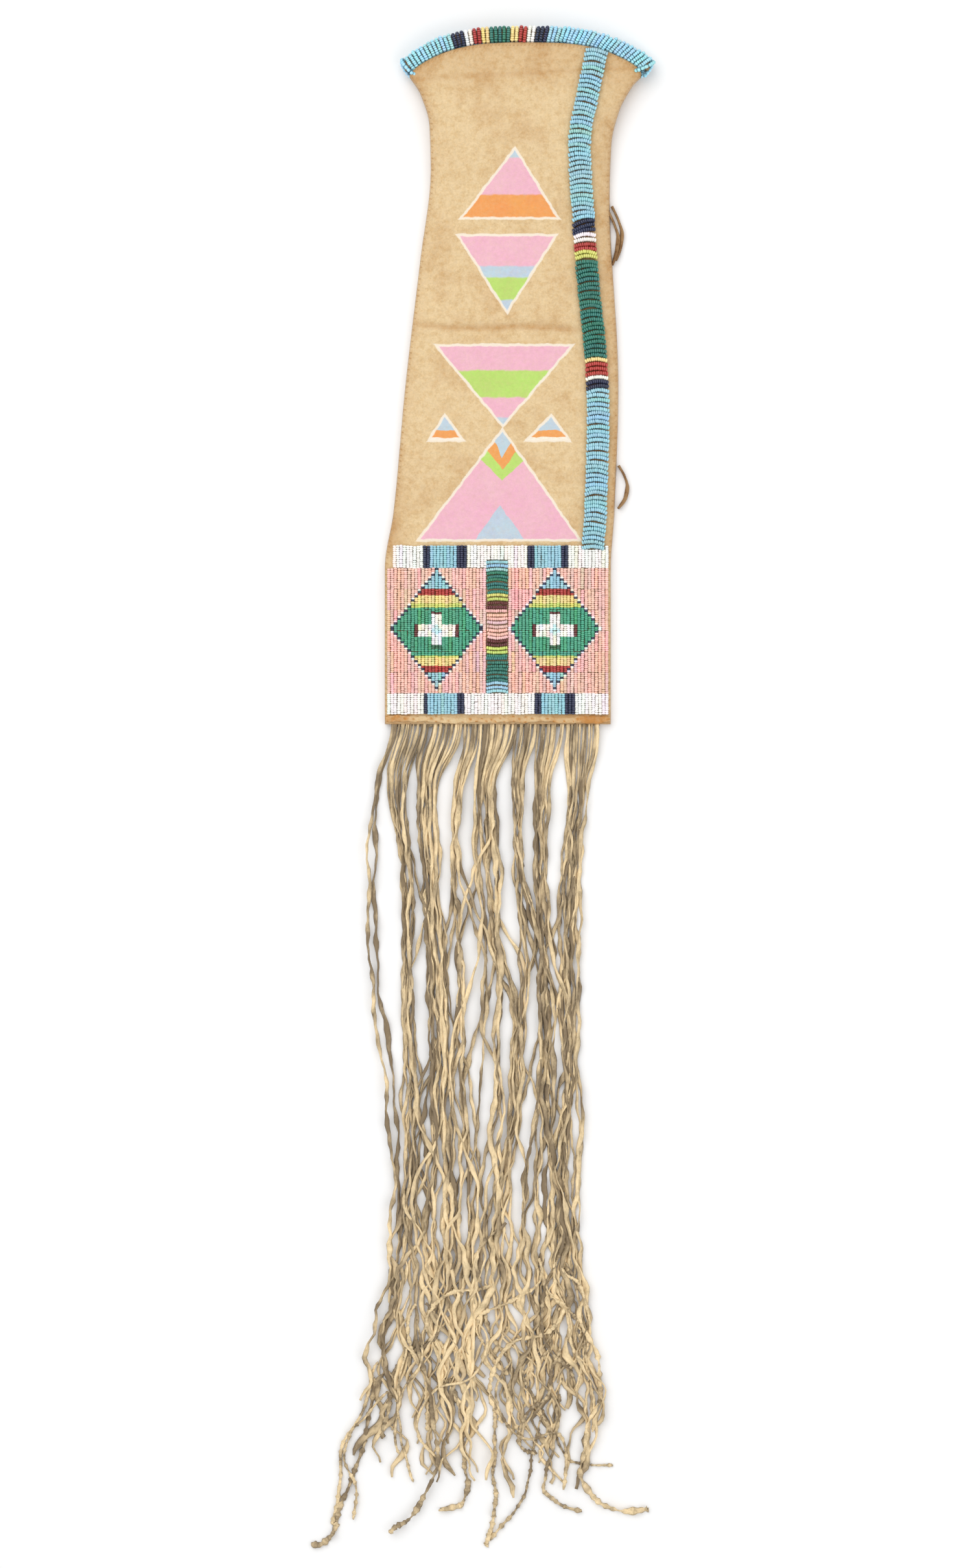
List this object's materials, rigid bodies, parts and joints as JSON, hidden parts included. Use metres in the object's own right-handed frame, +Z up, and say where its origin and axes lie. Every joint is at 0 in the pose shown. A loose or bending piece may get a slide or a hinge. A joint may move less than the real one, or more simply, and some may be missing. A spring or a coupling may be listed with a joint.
{
  "type": "pipe bag",
  "caption": "Long flat hide bag with a flared, beaded mouth, painted triangles, a beaded stripe and panel, and a long cut hide fringe; it holds a pipe and tobacco.",
  "frame": {"origin": "on the surface the bag lies on, under the middle of its box", "axes": "+Y along the bag towards its mouth, +X to the right as seen from the beaded front, +Z up out of the beaded front"},
  "size_m": [0.2162, 0.9622, 0.0184],
  "materials": {
    "hide": "matt, soft tanned hide with a fine nap",
    "fringe_hide": "matt hide, greyer where it has been handled",
    "thong_hide": "matt hide, darkened",
    "paint_pink": "matt earth paint soaked into the hide",
    "paint_orange": "matt earth paint soaked into the hide",
    "paint_green": "matt earth paint soaked into the hide",
    "paint_blue": "matt earth paint soaked into the hide",
    "bead_blue": "glossy opaque glass seed beads",
    "bead_navy": "glossy opaque glass seed beads",
    "bead_white": "glossy opaque glass seed beads",
    "bead_red": "glossy opaque glass seed beads",
    "bead_yellow": "glossy opaque glass seed beads",
    "bead_green": "glossy opaque glass seed beads",
    "bead_jade": "glossy opaque glass seed beads",
    "bead_pink": "glossy opaque glass seed beads"
  },
  "bodies": {
    "root": {"back_hide": "hide", "border_bottom_blue_left": "bead_blue", "border_bottom_blue_right": "bead_blue", "border_bottom_white_left": "bead_white", "border_bottom_white_middle": "bead_white", "border_bottom_white_right": "bead_white", "border_top_blue_left": "bead_blue", "border_top_blue_right": "bead_blue", "border_top_white_left": "bead_white", "border_top_white_middle": "bead_white", "border_top_white_right": "bead_white", "centre_lane_lower_green": "bead_green", "centre_lane_pink": "bead_pink", "centre_lane_upper_green": "bead_green", "diamond_left_bottom": "bead_yellow", "diamond_left_cross": "bead_white", "diamond_left_green": "bead_jade", "diamond_left_top": "bead_yellow", "diamond_right_bottom": "bead_yellow", "diamond_right_cross": "bead_white", "diamond_right_green": "bead_jade", "diamond_right_top": "bead_yellow", "field_pink_left": "bead_pink", "field_pink_right": "bead_pink", "fringe": "fringe_hide", "front_hide": "hide", "paint_first_triangle_orange": "paint_orange", "paint_first_triangle_pink": "paint_pink", "paint_large_base_blue": "paint_blue", "paint_large_blue_diamond": "paint_blue", "paint_large_green_chevron": "paint_green", "paint_large_orange_chevron": "paint_orange", "paint_large_pink": "paint_pink", "paint_second_triangle_blue": "paint_blue", "paint_second_triangle_green": "paint_green", "paint_second_triangle_pink": "paint_pink", "paint_small_left_triangle_blue": "paint_blue", "paint_small_right_triangle_blue": "paint_blue", "paint_third_triangle_green": "paint_green", "paint_third_triangle_lower_pink": "paint_pink", "paint_third_triangle_upper_pink": "paint_pink", "rim_blue": "bead_blue", "rim_green": "bead_green", "rim_navy_left": "bead_navy", "rim_navy_right": "bead_navy", "rim_red_left": "bead_red", "rim_red_right": "bead_red", "rim_white_left": "bead_white", "rim_white_right": "bead_white", "side_thong_lower": "thong_hide", "side_thong_upper": "thong_hide", "stripe_green": "bead_green", "stripe_lower_blue": "bead_blue", "stripe_lower_navy": "bead_navy", "stripe_lower_red": "bead_red", "stripe_lower_white": "bead_white", "stripe_upper_blue": "bead_blue", "stripe_upper_navy": "bead_navy", "stripe_upper_red": "bead_red", "stripe_upper_white": "bead_white"}
  },
  "joints": []
}
